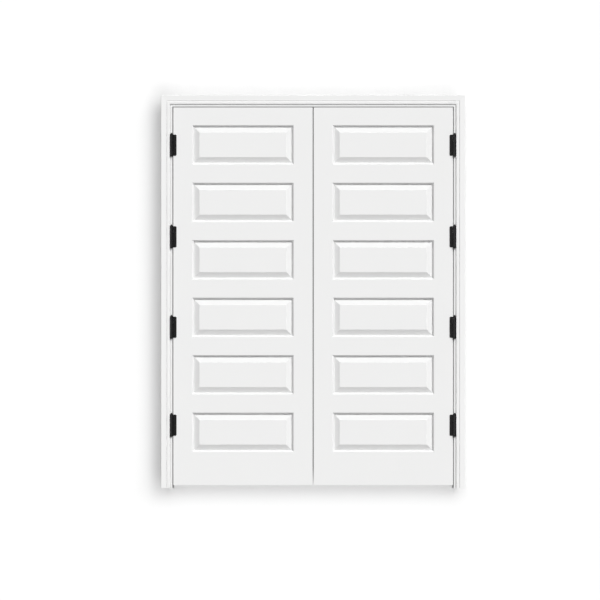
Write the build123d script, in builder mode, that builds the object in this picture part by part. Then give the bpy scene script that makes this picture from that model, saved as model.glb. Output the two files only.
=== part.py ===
import os
from math import hypot

from build123d import *

# Double door in its frame. The doorway runs along X, the front faces -Y and +Z is up.
# The origin is on the floor, at the middle of the whole unit's outline.
# Left-hand pieces are modelled, and right-hand pieces are their mirror images.

# Leaves
leaf_width = 900.0
leaf_height = 2438.0
leaf_thickness = 44.45
leaf_undercut = 19.0  # floor to the lower edge of a leaf
meeting_gap = 6.0  # between the two leaves
side_gap = 5.0  # leaf to side jamb
head_gap = 5.0  # leaf to head jamb
arris = 1.5  # eased long edges of a leaf

# Stiles and rails, measured on the face, outside the moulded edge
stile_width = 122.0
top_rail_height = 115.0
cross_rail_height = 117.0
bottom_rail_height = 214.0
sticking_width = 11.0  # moulded edge round each panel
sticking_depth = 11.5
sticking_bulge = 0.8  # how far the moulding stands out from its own chord
groove_depth = 12.0  # panel groove, behind the moulded edge

# Raised panels
panel_count = 6
tongue_thickness = 9.0
tongue_clearance = 0.25  # on each face of a tongue in its groove
tongue_room = 2.0  # left at the bottom of the groove for the wood to move
bevel_width = 36.5
field_depth = 1.5  # panel field below the face of the stiles

# Jambs and stops
jamb_thickness = 31.75
jamb_depth = 116.0
head_housing = 10.0  # depth of the head jamb's seat in each side jamb
stop_thickness = 11.0
stop_width = 35.0
stop_clearance = 1.0  # leaf to stop when the leaf is shut

# Casing, from the doorway outwards: a bead, a quirk and a flat band with a bevelled shoulder
casing_width = 57.0
casing_thickness = 11.0
casing_edge = 10.0  # thickness at both sides of the bead
casing_bead_width = 17.0
casing_bead_height = 10.5
quirk_width = 4.0
quirk_thickness = 9.3  # wood left under the quirk
casing_arris = 2.5  # rounded outer edge

# Hinges: one leaf let into the jamb, the other on the face of the door
hinge_height = 136.0
hinge_drop_shares = (0.1000, 0.3425, 0.5820, 0.8413)  # hinge middles below the top of the leaf
hinge_plate = 3.4  # plate thickness
hinge_corner = 5.0  # clipped plate corners
jamb_plate_depth = 40.0
door_plate_width = 21.5
mortise_clearance = 0.2
knuckle_count = 3
knuckle_gap = 0.4
barrel_radius = 10.5
barrel_clearance = 0.3  # barrel to jamb and casing
barrel_to_leaf = 0.7  # barrel to the plane of the leaf's edge
barrel_overhang = 5.5  # barrel beyond each end of the plates
barrel_chamfer = 4.2  # tapered ends of the barrel
pin_radius = 5.5
pin_clearance = 0.05
pin_tip = 6.0  # how far the pin stands out above the barrel

# Heights
leaf_top = leaf_undercut + leaf_height
head_bottom = leaf_top + head_gap
head_top = head_bottom + jamb_thickness

# Across the doorway: the left leaf lies between these two edges
meeting_edge = -meeting_gap / 2
hinge_edge = meeting_edge - leaf_width
jamb_face = hinge_edge - side_gap
reveal = 2 * barrel_radius + barrel_clearance + barrel_to_leaf - side_gap
casing_inner = jamb_face - reveal
pin_x = hinge_edge - barrel_to_leaf - barrel_radius

# Through the wall: the barrels stand furthest forward and the jambs furthest back
barrel_reach = barrel_clearance + 2 * barrel_radius
front = (barrel_reach - jamb_depth) / 2
leaf_back = front + leaf_thickness
leaf_middle = front + leaf_thickness / 2
stop_front = leaf_back + stop_clearance
pin_y = front - barrel_clearance - barrel_radius

# Panels and their openings
opening_width = leaf_width - 2 * stile_width
cross_rails_height = (panel_count - 1) * cross_rail_height
opening_height = (
    leaf_height - top_rail_height - bottom_rail_height - cross_rails_height
) / panel_count
opening_pitch = opening_height + cross_rail_height
groove_width = tongue_thickness + 2 * tongue_clearance
panel_margin = sticking_width - groove_depth + tongue_room
panel_width = opening_width - 2 * panel_margin
panel_height = opening_height - 2 * panel_margin
tongue_reach = sticking_width - panel_margin + tongue_clearance
panel_thickness = leaf_thickness - 2 * field_depth

# Hinge heights
hinge_middles = [leaf_top - share * leaf_height for share in hinge_drop_shares]
barrel_length = hinge_height + 2 * barrel_overhang
barrel_end = barrel_length / 2
knuckle_pitch = (barrel_length + knuckle_gap) / knuckle_count


def write(builder, name):
    builder.part.label = name
    export_step(builder.part, f"parts/{name}.step")


def write_pair(builder, name):
    """The left piece as it was made, and the right piece as its mirror image."""
    write(builder, f"left_{name}")
    with BuildPart() as other_hand:
        mirror(builder.part, about=Plane.YZ)
    write(other_hand, f"right_{name}")


def moulding(edge, side, face, inward):
    """Convex moulding from the face of a stile or rail down to the lip of the panel groove."""
    chord = hypot(sticking_width, sticking_depth)
    rise = sticking_depth / 2 - sticking_bulge * sticking_width / chord
    run = sticking_width / 2 + sticking_bulge * sticking_depth / chord
    ThreePointArc(
        (edge, face),
        (edge + side * run, face + inward * rise),
        (edge + side * sticking_width, face + inward * sticking_depth),
    )


def moulded_edge(edge, side):
    """Front moulding, panel groove and back moulding along one edge of a stile or rail."""
    lip = edge + side * sticking_width
    floor = lip - side * groove_depth
    near = (leaf_thickness - groove_width) / 2
    far = leaf_thickness - near
    moulding(edge, side, 0, 1)
    Polyline(
        (lip, sticking_depth),
        (lip, near),
        (floor, near),
        (floor, far),
        (lip, far),
        (lip, leaf_thickness - sticking_depth),
    )
    moulding(edge, side, leaf_thickness, -1)


def framing_section(width, moulded_both=False):
    """Section of a stile or rail: x across its face, y through the leaf, moulded at x = width."""
    with BuildSketch() as section:
        with BuildLine():
            moulded_edge(width, 1)
            if moulded_both:
                moulded_edge(0, -1)
                Line((0, 0), (width, 0))
                Line((0, leaf_thickness), (width, leaf_thickness))
            else:
                Polyline((width, 0), (0, 0), (0, leaf_thickness), (width, leaf_thickness))
        make_face()
    return section.sketch


def raised_section(length):
    """Section of a panel: a tongue at each end, then a bevel, then the flat field."""
    foot = length / 2 - tongue_reach
    field = foot - bevel_width
    low = tongue_thickness / 2
    high = panel_thickness / 2
    with BuildSketch() as section:
        with BuildLine():
            Polyline((length / 2, 0), (length / 2, low), (foot, low), (field, high), (0, high))
            mirror(about=Plane.YZ)
            mirror(about=Plane.XZ)
        make_face()
    return section.sketch


def casing_section():
    """Section of the casing: x from the doorway outwards, y from the wall forwards."""
    bead_middle = casing_bead_width / 2
    quirk_end = casing_bead_width + quirk_width
    shoulder_end = quirk_end + casing_thickness - casing_edge
    arris_start = casing_width - casing_arris
    arris_end = casing_thickness - casing_arris
    with BuildSketch() as section:
        with BuildLine():
            Line((0, 0), (0, casing_edge))
            ThreePointArc((0, casing_edge), (bead_middle, casing_bead_height), (casing_bead_width, casing_edge))
            ThreePointArc(
                (casing_bead_width, casing_edge),
                (casing_bead_width + quirk_width / 2, quirk_thickness),
                (quirk_end, casing_edge),
            )
            Polyline(
                (quirk_end, casing_edge),
                (shoulder_end, casing_thickness),
                (arris_start, casing_thickness),
            )
            RadiusArc((arris_start, casing_thickness), (casing_width, arris_end), casing_arris)
            Polyline((casing_width, arris_end), (casing_width, 0), (0, 0))
        make_face()
    return section.sketch


def hinge_plate_outline(sketch, width, clearance=0):
    """Hinge plate from x = 0, with its two far corners clipped."""
    Rectangle(width + clearance, hinge_height + 2 * clearance, align=(Align.MIN, Align.CENTER))
    chamfer(sketch.vertices().sort_by(Axis.X)[-2:], hinge_corner)


def knuckles(first, neck_corner, neck_size, tapered=False):
    """Every other knuckle from the given one up, each with the neck that joins it to its plate."""
    bases = [index * knuckle_pitch - barrel_end for index in range(first, knuckle_count, 2)]
    knuckle_length = knuckle_pitch - knuckle_gap
    with BuildPart() as barrel:
        for base in bases:
            with BuildSketch(Plane.XY.offset(base)):
                with Locations((pin_x, pin_y)):
                    Circle(barrel_radius)
            extrude(amount=knuckle_length)
        if tapered:
            rims = barrel.edges().filter_by(GeomType.CIRCLE).sort_by(Axis.Z)
            chamfer([rims[0], rims[-1]], barrel_chamfer)
        for base in bases:
            neck_base = max(base, -hinge_height / 2)
            neck_top = min(base + knuckle_length, hinge_height / 2)
            with BuildSketch(Plane.XY.offset(neck_base)):
                with Locations(neck_corner):
                    Rectangle(*neck_size, align=Align.MIN)
            extrude(amount=neck_top - neck_base)
    return barrel.part


def bore():
    """Hole for the pin, through the whole barrel."""
    with Locations((pin_x, pin_y)):
        Cylinder(pin_radius + pin_clearance, barrel_length, mode=Mode.SUBTRACT)


def at_each_hinge():
    return Locations(*[(0, 0, middle) for middle in hinge_middles])


os.makedirs("parts", exist_ok=True)

# Side jambs: housed at the top for the head jamb, mortised for the hinges
with BuildPart() as side_jamb:
    with BuildSketch():
        with Locations((jamb_face, front)):
            Rectangle(jamb_thickness, jamb_depth, align=(Align.MAX, Align.MIN))
    extrude(amount=head_top)
    with BuildSketch(Plane.XY.offset(head_bottom)):
        with Locations((jamb_face, front)):
            Rectangle(head_housing, jamb_depth, align=(Align.MAX, Align.MIN))
    extrude(amount=jamb_thickness, mode=Mode.SUBTRACT)
    for middle in hinge_middles:
        mortise_plane = Plane((jamb_face, front, middle), x_dir=(0, 1, 0), z_dir=(1, 0, 0))
        with BuildSketch(mortise_plane) as mortise:
            hinge_plate_outline(mortise, jamb_plate_depth, mortise_clearance)
        extrude(amount=-hinge_plate, mode=Mode.SUBTRACT)
write_pair(side_jamb, "jamb")

# Head jamb, seated in the housings of the side jambs
with BuildPart() as head_jamb:
    with BuildSketch(Plane.XY.offset(head_bottom)):
        with Locations((0, front)):
            Rectangle(2 * (head_housing - jamb_face), jamb_depth, align=(Align.CENTER, Align.MIN))
    extrude(amount=jamb_thickness)
write(head_jamb, "head_jamb")

# Stops: the head stop runs from jamb to jamb, and the side stops reach up to it
with BuildPart() as side_stop:
    with BuildSketch():
        with Locations((jamb_face, stop_front)):
            Rectangle(stop_thickness, stop_width, align=Align.MIN)
    extrude(amount=head_bottom - stop_thickness)
write_pair(side_stop, "stop")

with BuildPart() as head_stop:
    with BuildSketch(Plane.XY.offset(head_bottom - stop_thickness)):
        with Locations((0, stop_front)):
            Rectangle(-2 * jamb_face, stop_width, align=(Align.CENTER, Align.MIN))
    extrude(amount=stop_thickness)
write(head_stop, "head_stop")

# Casing: legs and head have one section and meet in mitres
casing_head_inner = head_bottom + reveal
casing_top = casing_head_inner + casing_width
mitre = Plane((casing_inner, front, casing_head_inner), x_dir=(0, 1, 0), z_dir=(1, 0, 1))

with BuildPart() as casing_leg:
    with BuildSketch(Plane((casing_inner, front, 0), x_dir=(-1, 0, 0), z_dir=(0, 0, 1))):
        add(casing_section())
    extrude(amount=casing_top)
    split(bisect_by=mitre, keep=Keep.BOTTOM)
write_pair(casing_leg, "casing")

with BuildPart() as head_casing:
    with BuildSketch(Plane((0, front, casing_head_inner), x_dir=(0, 0, 1), z_dir=(1, 0, 0))):
        add(casing_section())
    extrude(amount=casing_inner - casing_width)
    split(bisect_by=mitre, keep=Keep.TOP)
    mirror(about=Plane.YZ)
write(head_casing, "head_casing")

# Stiles: full height, moulded and grooved along the inner edge
with BuildPart() as hinge_stile:
    with BuildSketch(Plane((hinge_edge, front, leaf_undercut), x_dir=(1, 0, 0), z_dir=(0, 0, 1))) as section:
        add(framing_section(stile_width))
        chamfer(section.vertices().sort_by(Axis.X)[:2], arris)
    extrude(amount=leaf_height)
write_pair(hinge_stile, "hinge_stile")

with BuildPart() as meeting_stile:
    with BuildSketch(Plane((meeting_edge, front, leaf_top), x_dir=(-1, 0, 0), z_dir=(0, 0, -1))) as section:
        add(framing_section(stile_width))
        chamfer(section.vertices().sort_by(Axis.X)[:2], arris)
    extrude(amount=leaf_height)
write_pair(meeting_stile, "meeting_stile")


def rail(edge_height, up, height, moulded_both=False):
    """Rail between the stiles, its ends scribed over their mouldings and tongued into their grooves."""
    rail_end = meeting_edge - stile_width if up > 0 else hinge_edge + stile_width
    with BuildPart() as piece:
        with BuildSketch(Plane((rail_end, front, edge_height), x_dir=(0, 0, up), z_dir=(-up, 0, 0))):
            add(framing_section(height, moulded_both))
        extrude(amount=opening_width)
        add(hinge_stile.part, mode=Mode.SUBTRACT)
        add(meeting_stile.part, mode=Mode.SUBTRACT)
    return piece


# Rails: the top rail is moulded below, the bottom rail above and the cross rails on both edges
write_pair(rail(leaf_top, -1, top_rail_height), "top_rail")
write_pair(rail(leaf_undercut, 1, bottom_rail_height), "bottom_rail")
highest_opening = leaf_top - top_rail_height
for number in range(1, panel_count):
    rail_bottom = highest_opening - number * opening_pitch
    write_pair(rail(rail_bottom, 1, cross_rail_height, moulded_both=True), f"cross_rail_{number}")

# Panels: the sections across and up the panel are crossed, so that the bevels meet in mitres
panel_x = (hinge_edge + meeting_edge) / 2
for number in range(1, panel_count + 1):
    panel_bottom = highest_opening - number * opening_pitch + cross_rail_height + panel_margin
    with BuildPart() as panel:
        with BuildSketch(Plane((panel_x, leaf_middle, panel_bottom), x_dir=(1, 0, 0), z_dir=(0, 0, 1))):
            add(raised_section(panel_width))
        extrude(amount=panel_height)
        panel_middle = (panel_x - panel_width / 2, leaf_middle, panel_bottom + panel_height / 2)
        with BuildSketch(Plane(panel_middle, x_dir=(0, 0, -1), z_dir=(1, 0, 0))):
            add(raised_section(panel_height))
        extrude(amount=panel_width, mode=Mode.INTERSECT)
    write_pair(panel, f"panel_{number}")

# Hinge leaves on the jamb: a plate in its mortise and the outer knuckles
neck_corner = (jamb_face - hinge_plate, pin_y)
jamb_knuckles = knuckles(0, neck_corner, (hinge_plate, front - pin_y), tapered=True)
with BuildPart() as jamb_leaf:
    with BuildSketch(Plane((jamb_face, front, 0), x_dir=(0, 1, 0), z_dir=(1, 0, 0))) as plate:
        hinge_plate_outline(plate, jamb_plate_depth)
    extrude(amount=-hinge_plate)
    add(jamb_knuckles)
    bore()

with BuildPart() as jamb_leaves:
    with at_each_hinge():
        add(jamb_leaf.part)
write_pair(jamb_leaves, "jamb_hinge_leaves")

# Hinge leaves on the door: a plate on the face of the hinge stile and the knuckles between
neck_thickness = hinge_plate - barrel_clearance
neck_length = hinge_edge - pin_x + hinge_plate
door_knuckles = knuckles(1, (pin_x, front - hinge_plate), (neck_length, neck_thickness))
with BuildPart() as door_leaf:
    with BuildSketch(Plane((hinge_edge, front, 0), x_dir=(1, 0, 0), z_dir=(0, -1, 0))) as plate:
        hinge_plate_outline(plate, door_plate_width)
    extrude(amount=hinge_plate)
    add(door_knuckles)
    bore()

with BuildPart() as door_leaves:
    with at_each_hinge():
        add(door_leaf.part)
write_pair(door_leaves, "door_hinge_leaves")

# Hinge pins: through the barrel and out at the top
with BuildPart() as hinge_pin:
    with Locations((pin_x, pin_y, -barrel_end)):
        Cylinder(pin_radius, barrel_length + pin_tip, align=(Align.CENTER, Align.CENTER, Align.MIN))

with BuildPart() as hinge_pins:
    with at_each_hinge():
        add(hinge_pin.part)
write_pair(hinge_pins, "hinge_pins")
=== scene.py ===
from math import radians

import bpy
import numpy as np
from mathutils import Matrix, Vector


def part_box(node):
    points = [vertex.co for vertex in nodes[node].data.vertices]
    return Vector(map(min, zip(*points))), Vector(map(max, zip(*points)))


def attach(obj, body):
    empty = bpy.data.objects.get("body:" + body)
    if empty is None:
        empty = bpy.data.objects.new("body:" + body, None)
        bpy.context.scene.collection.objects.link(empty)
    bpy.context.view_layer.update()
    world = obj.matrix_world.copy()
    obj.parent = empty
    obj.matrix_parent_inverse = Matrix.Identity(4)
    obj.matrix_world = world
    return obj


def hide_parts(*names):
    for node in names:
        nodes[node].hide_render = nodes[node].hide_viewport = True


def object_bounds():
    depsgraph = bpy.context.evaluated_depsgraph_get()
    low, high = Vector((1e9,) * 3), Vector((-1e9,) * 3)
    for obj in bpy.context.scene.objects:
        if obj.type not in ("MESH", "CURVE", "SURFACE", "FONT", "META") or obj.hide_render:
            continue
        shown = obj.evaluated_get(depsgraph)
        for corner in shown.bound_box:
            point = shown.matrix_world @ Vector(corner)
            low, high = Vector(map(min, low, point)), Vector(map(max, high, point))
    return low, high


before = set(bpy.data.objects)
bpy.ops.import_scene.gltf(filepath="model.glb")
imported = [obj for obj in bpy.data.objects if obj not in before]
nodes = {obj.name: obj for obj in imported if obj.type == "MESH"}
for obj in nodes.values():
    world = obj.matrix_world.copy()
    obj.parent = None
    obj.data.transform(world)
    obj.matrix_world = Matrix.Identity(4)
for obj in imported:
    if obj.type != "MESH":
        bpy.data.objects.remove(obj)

cadLow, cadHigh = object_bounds()
sides = ("left", "right")
leafLow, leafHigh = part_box("left_hinge_stile")
leafMiddle = (leafLow[1] + leafHigh[1]) / 2
leafHalf = (leafHigh[1] - leafLow[1]) / 2
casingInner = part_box("right_casing")[0][0]
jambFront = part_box("left_jamb")[0][1]
print("frame loaded:", len(nodes), "nodes")


# Shader values: sums and products of sockets become Math nodes
class Value:
    def __init__(self, shade, socket):
        self.shade = shade
        self.socket = socket

    def maths(self, operation, first, second):
        return self.shade.node("ShaderNodeMath", {"operation": operation}, {0: first, 1: second})

    def __add__(self, other):
        return self.maths("ADD", self, other)

    def __radd__(self, other):
        return self.maths("ADD", other, self)

    def __sub__(self, other):
        return self.maths("SUBTRACT", self, other)

    def __rsub__(self, other):
        return self.maths("SUBTRACT", other, self)

    def __mul__(self, other):
        return self.maths("MULTIPLY", self, other)

    def __rmul__(self, other):
        return self.maths("MULTIPLY", other, self)

    def __abs__(self):
        return self.maths("ABSOLUTE", self, 0.0)

    def below(self, limit):
        return self.maths("LESS_THAN", self, limit)


# One node tree, of a material or of the world
class Shade:
    def __init__(self, owner):
        owner.use_nodes = True
        self.owner = owner
        self.tree = owner.node_tree
        self.tree.nodes.clear()

    def node(self, kind, settings=None, inputs=None, out=0):
        made = self.tree.nodes.new(kind)
        for key, value in (settings or {}).items():
            setattr(made, key, value)
        for key, value in (inputs or {}).items():
            if isinstance(value, Value):
                self.tree.links.new(value.socket, made.inputs[key])
            else:
                made.inputs[key].default_value = value
        return Value(self, made.outputs[out]) if made.outputs else None

    def axis(self, letter):
        place = self.node("ShaderNodeTexCoord", out="Object")
        return self.node("ShaderNodeSeparateXYZ", inputs={"Vector": place}, out=letter)

    def coords(self, stretch=(1.0, 1.0, 1.0)):
        place = self.node("ShaderNodeTexCoord", out="Object")
        return self.node("ShaderNodeMapping", inputs={"Vector": place, "Scale": stretch})

    def noise(self, vector, look):
        return self.node("ShaderNodeTexNoise", inputs={"Vector": vector, **look})

    # 0 at the start, 1 at the end and even between
    def ramp(self, value, start, end):
        return self.node("ShaderNodeMapRange", inputs={"Value": value, "From Min": start, "From Max": end})

    def mixColour(self, factor, first, second):
        settings = {"data_type": "RGBA"}
        return self.node("ShaderNodeMix", settings, {0: factor, 6: first, 7: second}, out=2)

    def finish(self, shader, kind="Material"):
        self.node(f"ShaderNodeOutput{kind}", inputs={"Surface": shader})
        return self.owner


noiseMiddle = 0.5


# How far a noise stands from its middle, times a size
def swing(noise, size):
    return (noise - noiseMiddle) * size


# Satin paint on wood: brush marks run with the length of each piece, over a fine roller stipple
paint = {
    "brush": {"Scale": 620.0, "Detail": 3.0, "Roughness": 0.55},  # marks per metre across the stroke
    "brushStretch": 0.035,  # and along it, as a share
    "stipple": {"Scale": 480.0, "Detail": 2.0, "Roughness": 0.5},
    "cloud": {"Scale": 2.6, "Detail": 3.0, "Roughness": 0.6},
    "brushInRelief": 0.65,  # the rest of the relief is stipple
    "cloudInTone": 0.7,  # the rest of the tone is brush marks
    "roughness": 0.52,
    "toneRoughness": 0.14,
    "stippleRoughness": 0.06,
    "relief": 0.00022,
    "reliefStrength": 0.35,
    "gloss": 0.16,
}

# Its colours on leaves, stops and head casing, with painted shade where the panels are sunk into the
# leaves
leafTones = {
    "fresh": (0.850, 0.850, 0.848, 1.0),
    "dulled": (0.820, 0.821, 0.818, 1.0),
    "paintedShade": (0.780, 0.781, 0.779, 1.0),
    "paintedShadeFrom": 0.0017,  # depth below the face of a leaf where this starts
    "paintedShadeTo": 0.0045,  # and where it is whole
}

# On the side jambs a darker copy of the paint, which is painted shade, and a grey line of painted shade on
# the left one where it meets the casing
shadedJambTones = {
    "fresh": (0.795, 0.795, 0.793, 1.0),
    "dulled": (0.767, 0.768, 0.765, 1.0),
    # painted shade: the colour of the grey line
    "paintedShade": (0.620, 0.621, 0.618, 1.0),  # the grey line
    "shadeLineWidth": 0.0075,
    "shadeLineDepth": 0.0005,  # the line stays on the front of the jamb
}

# And on the head jamb a lighter copy of the paint, which is painted light against the shadow of the casing
# above
litHeadTones = {
    "fresh": (0.930, 0.930, 0.928, 1.0),
    "dulled": (0.905, 0.906, 0.903, 1.0),
    "paintedShade": (0.850, 0.851, 0.849, 1.0),
}

# And on the upright casings a lighter copy of the paint, which is painted light, with painted shade in the
# quirk beside the bead
litCasingTones = {
    "fresh": (0.874, 0.874, 0.872, 1.0),
    "dulled": (0.846, 0.847, 0.844, 1.0),
    "paintedShade": (0.700, 0.701, 0.699, 1.0),
    "paintedShadeFrom": 0.0165,  # from the inner edge of the casing
    "paintedShadeTo": 0.0235,
}


# Share of the painted shade in a leaf: its depth below the nearer face, ramped
def leafPaintedShade(shade):
    depth = leafHalf - abs(shade.axis("Y") - leafMiddle)
    return shade.ramp(depth, leafTones["paintedShadeFrom"], leafTones["paintedShadeTo"])


# Share of the grey line of painted shade in a jamb: 1 in a band beside the left casing, no deeper than the
# front
def jambShadeLine(shade):
    inset = shade.axis("X") + casingInner
    shadeLine = inset.below(shadedJambTones["shadeLineWidth"]) - inset.below(0.0)
    return shadeLine * shade.axis("Y").below(jambFront + shadedJambTones["shadeLineDepth"])


# Share of the painted shade in an upright casing: 1 in the quirk, a band at a set distance from its inner
# edge
def casingPaintedShade(shade):
    inset = abs(shade.axis("X")) - casingInner
    return inset.below(litCasingTones["paintedShadeTo"]) - inset.below(litCasingTones["paintedShadeFrom"])


# Relief is brush marks plus stipple, tone is clouds plus brush marks, and gloss fades with the tone
def paintMaterial(name, stretch, tones, paintedShade):
    shade = Shade(bpy.data.materials.new(name))
    brush = shade.noise(shade.coords(stretch), paint["brush"])
    stipple = shade.noise(shade.coords(), paint["stipple"])
    cloud = shade.noise(shade.coords(), paint["cloud"])
    height = brush * paint["brushInRelief"] + stipple * (1.0 - paint["brushInRelief"])
    tone = cloud * paint["cloudInTone"] + brush * (1.0 - paint["cloudInTone"])
    colour = shade.mixColour(tone, tones["fresh"], tones["dulled"])
    rough = swing(tone, paint["toneRoughness"]) + swing(stipple, paint["stippleRoughness"])
    reliefInputs = {"Strength": paint["reliefStrength"], "Distance": paint["relief"], "Height": height}
    surface = {
        # painted shade mixed over the paint, in the share its mask gives
        "Base Color": shade.mixColour(paintedShade(shade), colour, tones["paintedShade"]),
        "Roughness": rough + paint["roughness"],
        "Normal": shade.node("ShaderNodeBump", inputs=reliefInputs),
        "Specular IOR Level": paint["gloss"],
    }
    return shade.finish(shade.node("ShaderNodeBsdfPrincipled", inputs=surface))


# Black coated steel: a fine grainy coat, a little rubbed in places
coat = {
    "deep": (0.0012, 0.0012, 0.0013, 1.0),
    "rubbed": (0.0036, 0.0036, 0.0039, 1.0),
    "grain": {"Scale": 1500.0, "Detail": 2.0, "Roughness": 0.6},
    "rub": {"Scale": 55.0, "Detail": 4.0, "Roughness": 0.6},
    "roughness": 0.40,
    "rubRoughness": 0.18,
    "grainRoughness": 0.08,
    "relief": 0.00010,
    "reliefStrength": 0.5,
    "edgeRadius": 0.0006,
    "edgeSamples": 4,
    "gloss": 0.105,
}


# Colour and gloss follow the rubbed places, and the relief is grain over softened edges
def coatMaterial(name):
    shade = Shade(bpy.data.materials.new(name))
    grain = shade.noise(shade.coords(), coat["grain"])
    rub = shade.noise(shade.coords(), coat["rub"])
    rough = swing(rub, coat["rubRoughness"]) + swing(grain, coat["grainRoughness"])
    edgeInputs = {"Radius": coat["edgeRadius"]}
    softEdge = shade.node("ShaderNodeBevel", {"samples": coat["edgeSamples"]}, edgeInputs)
    reliefInputs = {
        "Strength": coat["reliefStrength"],
        "Distance": coat["relief"],
        "Height": grain,
        "Normal": softEdge,
    }
    surface = {
        "Base Color": shade.mixColour(rub, coat["deep"], coat["rubbed"]),
        "Roughness": rough + coat["roughness"],
        "Normal": shade.node("ShaderNodeBump", inputs=reliefInputs),
        "Specular IOR Level": coat["gloss"],
    }
    return shade.finish(shade.node("ShaderNodeBsdfPrincipled", inputs=surface))


upright = (1.0, 1.0, paint["brushStretch"])
level = (paint["brushStretch"], 1.0, 1.0)
# The upright and level paints carry painted shade where the leaves are sunk
uprightPaint = paintMaterial("upright_paint", upright, leafTones, leafPaintedShade)
levelPaint = paintMaterial("level_paint", level, leafTones, leafPaintedShade)
# The side jamb paint is a darker copy, painted shade
shadedJambPaint = paintMaterial("shaded_jamb_paint", upright, shadedJambTones, jambShadeLine)
# The head jamb paint is a lighter copy, painted light
litHeadPaint = paintMaterial("lit_head_paint", level, litHeadTones, leafPaintedShade)
# The upright casing paint is a lighter copy, painted light, with painted shade in the quirk
litCasingPaint = paintMaterial("lit_casing_paint", upright, litCasingTones, casingPaintedShade)
hingeCoat = coatMaterial("hinge_coat")
finishes = {"hinge_leaves": hingeCoat, "pins": hingeCoat, "head_jamb": litHeadPaint}
finishes.update({word: levelPaint for word in ("rail", "panel", "head")})
finishes.update({"casing": litCasingPaint, "jamb": shadedJambPaint})
for name, node in nodes.items():
    words = [word for word in finishes if word in name]  # the first that fits gives the finish
    node.data.materials.clear()
    node.data.materials.append(finishes[words[0]] if words else uprightPaint)
print("painted:", len(nodes), "nodes")


# A mesh from points and arrays of faces, with its place in the mesh
def meshPiece(name, points, faces, finish):
    mesh = bpy.data.meshes.new(name)
    mesh.from_pydata(points.tolist(), [], sum((group.tolist() for group in faces), []))
    mesh.polygons.foreach_set("use_smooth", np.ones(len(mesh.polygons), dtype=bool))
    mesh.materials.append(finish)
    piece = bpy.data.objects.new(name, mesh)
    bpy.context.collection.objects.link(piece)
    return piece


# Faces of a round skin: quads from each ring to the next, triangles from the end rings to the poles
def skinFaces(rings, turns):
    ring = np.arange(rings - 1)[:, None] * turns + 1
    turn = np.arange(turns)
    after = (turn + 1) % turns
    quads = np.stack([ring + turn, ring + after, ring + turns + after, ring + turns + turn], axis=-1)
    last = rings * turns + 1
    lastRing = last - turns
    cap = np.stack([np.zeros_like(turn), after + 1, turn + 1], axis=-1)
    base = np.stack([np.full_like(turn, last), lastRing + turn, lastRing + after], axis=-1)
    return quads.reshape(-1, 4), np.concatenate([cap, base])


# Copies of one shape: its points plus each place, and its faces counted on from copy to copy
def spread(points, faces, places):
    everywhere = (points + np.asarray(places)[:, None, :]).reshape(-1, 3)
    shift = (np.arange(len(places)) * len(points))[:, None, None]
    return everywhere, [(group + shift).reshape(-1, group.shape[1]) for group in faces]


# Hinge pins: a profile of radius against height turned about the barrel, with domed ends
pin = {"turns": 40, "domeHeight": 0.0046, "domeRings": 8}


# The radius narrows as a quarter of an ellipse over each dome and is even between them
def pinSkin(radius, halfLength):
    lift = np.linspace(0.0, 1.0, pin["domeRings"])[:-1]
    narrowing = radius * np.sqrt(1.0 - lift**2)
    climb = halfLength - pin["domeHeight"] + pin["domeHeight"] * lift
    ringRadius = np.concatenate([narrowing[::-1], narrowing])[:, None]
    ringHeight = np.concatenate([climb[::-1], -climb])[:, None]
    angle = np.linspace(0.0, 2.0 * np.pi, pin["turns"], endpoint=False)
    x = ringRadius * np.cos(angle)
    y = ringRadius * np.sin(angle)
    rings = np.stack([x, y, np.broadcast_to(ringHeight, x.shape)], axis=-1).reshape(-1, 3)
    points = np.concatenate([[[0.0, 0.0, halfLength]], rings, [[0.0, 0.0, -halfLength]]])
    return points, skinFaces(len(ringRadius), pin["turns"])


# Where the hinges are: the drop of each below the top of a leaf, as a share of the leaf's height
hinge = {"dropShares": (0.1000, 0.3425, 0.5820, 0.8413), "plate": 0.0034}
leafHeight = leafHigh[2] - leafLow[2]
hingeHeights = [leafHigh[2] - share * leafHeight for share in hinge["dropShares"]]
for side in sides:
    pinLow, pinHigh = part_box(f"{side}_hinge_pins")
    axisX, axisY = (pinLow[0] + pinHigh[0]) / 2, (pinLow[1] + pinHigh[1]) / 2
    pinHalf = (pinHigh[2] - pinLow[2] - hingeHeights[0] + hingeHeights[-1]) / 2
    pinLift = pinHigh[2] - hingeHeights[0] - pinHalf
    pinPoints, pinFaces = pinSkin((pinHigh[0] - pinLow[0]) / 2, pinHalf)
    pinPlaces = [(axisX, axisY, height + pinLift) for height in hingeHeights]
    pinSet = meshPiece(f"{side}_domed_pins", *spread(pinPoints, pinFaces, pinPlaces), hingeCoat)
    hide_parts(f"{side}_hinge_pins")
    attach(pinSet, "frame")
print("hinge pins turned:", len(sides) * len(hingeHeights))


# Screws: a domed head whose height falls away in a cross-shaped recess
screw = {
    "radius": 0.0041,
    "rim": 0.0004,
    "crown": 0.0009,
    "recessDepth": 0.0011,
    "armHalf": 0.00055,
    "armLength": 0.0024,
    "armSoft": 0.00030,
    "turns": 48,
    "rings": 10,
    "rows": (-0.051, -0.017, 0.017, 0.051),  # above the middle of the hinge
    "doorSteps": (0.0075, 0.0140),  # from the leaf's edge, in turn
    "jambSteps": (0.0130, 0.0290),  # from the front of the jamb, in turn
}


# 1 within the edge and 0 beyond it, by a smooth cubic step a soft width to either side
def softWithin(edge, distance):
    step = np.clip((edge + screw["armSoft"] - distance) / (2.0 * screw["armSoft"]), 0.0, 1.0)
    return step * step * (3.0 - 2.0 * step)


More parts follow.
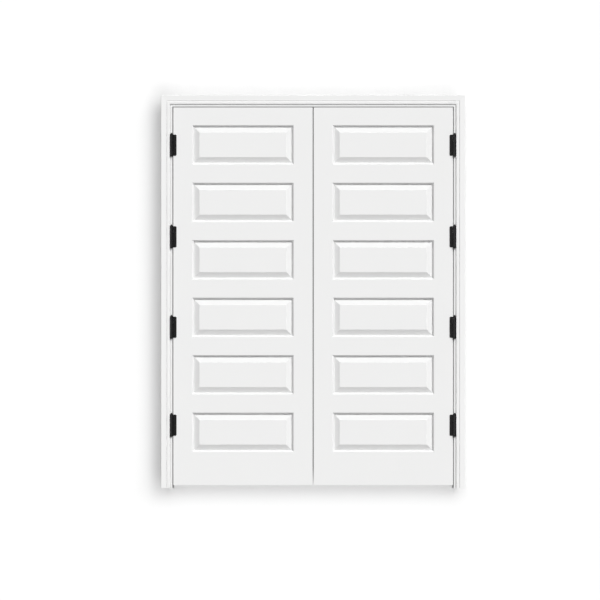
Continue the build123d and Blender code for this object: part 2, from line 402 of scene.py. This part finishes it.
# Height of the head over a disc: rim plus a parabola, less the depth of a cross with soft walls
def screwSkin():
    reach = np.linspace(0.0, 1.0, screw["rings"] + 1)[1:, None] * screw["radius"]
    angle = np.linspace(0.0, 2.0 * np.pi, screw["turns"], endpoint=False)[None, :]
    folded = (angle + np.pi / 4.0) % (np.pi / 2.0) - np.pi / 4.0  # from the nearest arm of the cross
    arm = softWithin(screw["armHalf"], reach * np.abs(np.sin(folded)))
    cross = arm * softWithin(screw["armLength"], reach * np.cos(folded))
    dome = screw["crown"] * (1.0 - (reach / screw["radius"]) ** 2)
    height = screw["rim"] + dome - screw["recessDepth"] * cross
    top = np.stack([reach * np.cos(angle), reach * np.sin(angle), height], axis=-1)
    foot = top[-1:] * (1.0, 1.0, 0.0)
    rings = np.concatenate([top, foot]).reshape(-1, 3)
    centre = screw["rim"] + screw["crown"] - screw["recessDepth"]
    points = np.concatenate([[[0.0, 0.0, centre]], rings, [[0.0, 0.0, 0.0]]])
    return points, skinFaces(screw["rings"] + 1, screw["turns"])


headPoints, headFaces = screwSkin()


# Screws in all hinges of one side: a head facing out along the last of its new axes, at each place
def hingeScrews(name, axes, places, body):
    head = headPoints @ np.array(axes)
    screws = meshPiece(name, *spread(head, headFaces, places), hingeCoat)
    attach(screws, body)


hingeRows = [(row, index % 2) for index, row in enumerate(screw["rows"])]  # steps taken in turn
screwRows = [(height + row, step) for height in hingeHeights for row, step in hingeRows]
plateFront = leafLow[1] - hinge["plate"]
for side in sides:
    way = 1.0 if side == "left" else -1.0  # from the jamb towards the doorway
    edge = leafLow[0] * way
    doorPlaces = [(edge + way * screw["doorSteps"][step], plateFront, z) for z, step in screwRows]
    doorAxes = [(1.0, 0.0, 0.0), (0.0, 0.0, 1.0), (0.0, -1.0, 0.0)]
    hingeScrews(f"{side}_door_hinge_screws", doorAxes, doorPlaces, f"{side}_leaf")

    jambLow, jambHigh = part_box(f"{side}_jamb")
    jambFace = jambHigh[0] if side == "left" else jambLow[0]
    jambPlaces = [(jambFace, jambLow[1] + screw["jambSteps"][step], z) for z, step in screwRows]
    jambAxes = [(0.0, way, 0.0), (0.0, 0.0, 1.0), (way, 0.0, 0.0)]
    hingeScrews(f"{side}_jamb_hinge_screws", jambAxes, jambPlaces, "frame")
print("screws set:", len(sides) * 2 * len(screwRows))


# A flat sheet of the stage, seen by the camera alone so that it keeps its light off the object
def stageSheet(name, corners, finish):
    mesh = bpy.data.meshes.new(name)
    mesh.from_pydata(corners, [], [(0, 1, 2, 3)])
    mesh.materials.append(finish)
    sheet = bpy.data.objects.new(name, mesh)
    bpy.context.collection.objects.link(sheet)
    sheet.visible_diffuse = False
    sheet.visible_glossy = False
    sheet.visible_transmission = False
    sheet.visible_shadow = False
    return sheet


# Stage: a pale floor, and a white sheet behind that takes the shadow and is clear from behind
stage = {
    "reach": 30.0,
    "depth": 8.0,  # how far the sheet goes down below the floor
    "gapBehind": 0.012,
    "floorColour": (0.69, 0.69, 0.69, 1.0),
    "sheetTone": 0.62,
    "sheetGlow": 0.185,
    # painted shade: grey on the sheet behind the doorway, for the shade seen through gaps and open leaves
    "doorwayShade": 0.20,  # the room beyond, seen through gaps and open leaves
    "doorwayFade": 0.12,  # height over which it darkens above the lower edge of the leaves
}


# One even colour, because the floor is only there to take the shadow
def floorMaterial():
    shade = Shade(bpy.data.materials.new("pale_floor"))
    return shade.finish(shade.node("ShaderNodeBsdfDiffuse", inputs={"Color": stage["floorColour"]}))


# White and a little bright of itself, but grey with painted shade where the doorway is, from its foot
# upwards
def sheetMaterial(doorwayHalf, doorwayFoot, doorwayTop):
    shade = Shade(bpy.data.materials.new("white_sheet"))
    x, z = shade.axis("X"), shade.axis("Z")
    wide = x.below(doorwayHalf) - x.below(-doorwayHalf)
    tall = z.below(doorwayTop) * shade.ramp(z, doorwayFoot, doorwayFoot + stage["doorwayFade"])
    outside = 1.0 - wide * tall
    front = {
        "Base Color": outside * (stage["sheetTone"] - stage["doorwayShade"]) + stage["doorwayShade"],
        "Emission Color": outside * stage["sheetGlow"],
        "Emission Strength": 1.0,
        "Roughness": 1.0,
        "Specular IOR Level": 0.0,
    }
    faces = {
        0: shade.node("ShaderNodeNewGeometry", out="Backfacing"),
        1: shade.node("ShaderNodeBsdfPrincipled", inputs=front),
        2: shade.node("ShaderNodeBsdfTransparent"),
    }
    return shade.finish(shade.node("ShaderNodeMixShader", inputs=faces))


far = stage["reach"]
deep = -stage["depth"]
sheetY = cadHigh[1] + stage["gapBehind"]
jambMiddle = sum(corner[0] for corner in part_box("right_jamb")) / 2
headMiddle = sum(corner[2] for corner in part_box("head_jamb")) / 2
floorCorners = [(-far, -far, 0.0), (far, -far, 0.0), (far, far, 0.0), (-far, far, 0.0)]
sheetCorners = [(-far, sheetY, deep), (far, sheetY, deep), (far, sheetY, far), (-far, sheetY, far)]
stageSheet("floor", floorCorners, floorMaterial())
sheetBehind = stageSheet("sheet_behind", sheetCorners, sheetMaterial(jambMiddle, leafLow[2], headMiddle))
print("stage set")


# Light: a broad key from the upper right in front, a weaker lamp behind, three for the sheet alone, which
# lay the soft shadow round the frame, and one that draws a glint down the hinge barrels
meshes = [piece for piece in bpy.data.objects if piece.type == "MESH"]
hinges = [piece for piece in meshes if hingeCoat in list(piece.data.materials)]
butSheet = {"state": "EXCLUDE", "receivers": [sheetBehind]}
onSheet = {"state": "INCLUDE", "receivers": [sheetBehind]}
onHinges = {"state": "INCLUDE", "receivers": hinges}
light = {
    "key": {"source": (0.45, -1.00, 0.71), "strength": 3.42, "spread": 46.0, **butSheet},
    "back": {"source": (-0.30, 1.00, 0.45), "strength": 2.0, "spread": 40.0, **butSheet},
    "sheet_right": {"source": (0.80, -1.00, 0.50), "strength": 1.75, "spread": 49.0, **onSheet},
    "sheet_upper": {"source": (0.10, -1.00, 0.60), "strength": 1.30, "spread": 49.0, **onSheet},
    "sheet_lower": {"source": (0.36, -1.00, -0.50), "strength": 1.52, "spread": 49.0, **onSheet},
    "hinge_glint": {"source": (-0.90, -1.00, 0.10), "strength": 3.4, "spread": 46.0, **onHinges},
}


# A sun that shines from its source, on its receivers alone or on all but them
def sunLamp(name, lamp):
    data = bpy.data.lights.new(name, "SUN")
    data.energy = lamp["strength"]
    data.angle = radians(lamp["spread"])
    sun = bpy.data.objects.new(name, data)
    sun.rotation_euler = Vector(lamp["source"]).to_track_quat("Z", "Y").to_euler()
    bpy.context.collection.objects.link(sun)
    receivers = bpy.data.collections.new(f"{name}_receivers")
    for piece in lamp["receivers"]:
        receivers.objects.link(piece)
    for member in receivers.collection_objects:
        member.light_linking.link_state = lamp["state"]
    sun.light_linking.receiver_collection = receivers


for name, lamp in light.items():
    sunLamp(name, lamp)

# An even sky, white where it is seen or mirrored
skyStrength = 0.19
sky = Shade(bpy.data.worlds.new("white_sky"))
kinds = ("Camera", "Glossy", "Transmission")
rays = [sky.node("ShaderNodeLightPath", out=f"Is {kind} Ray") for kind in kinds]
seen = rays[0] + rays[1] + rays[2]
skyInputs = {"Color": (1.0, 1.0, 1.0, 1.0), "Strength": seen * (1.0 - skyStrength) + skyStrength}
bpy.context.scene.world = sky.finish(sky.node("ShaderNodeBackground", inputs=skyInputs), "World")

# Camera: straight on, without perspective, as the photograph is
view = {"span": 3.873, "centreX": -0.0846, "centreZ": 1.2135, "distance": 8.0}
lens = bpy.data.cameras.new("camera")
lens.type = "ORTHO"
lens.ortho_scale = view["span"]
camera = bpy.data.objects.new("camera", lens)
camera.location = (view["centreX"], -view["distance"], view["centreZ"])
camera.rotation_euler = (radians(90.0), 0.0, 0.0)
bpy.context.collection.objects.link(camera)
bpy.context.scene.camera = camera
bpy.context.scene.view_settings.view_transform = "Standard"
print("light and camera set")
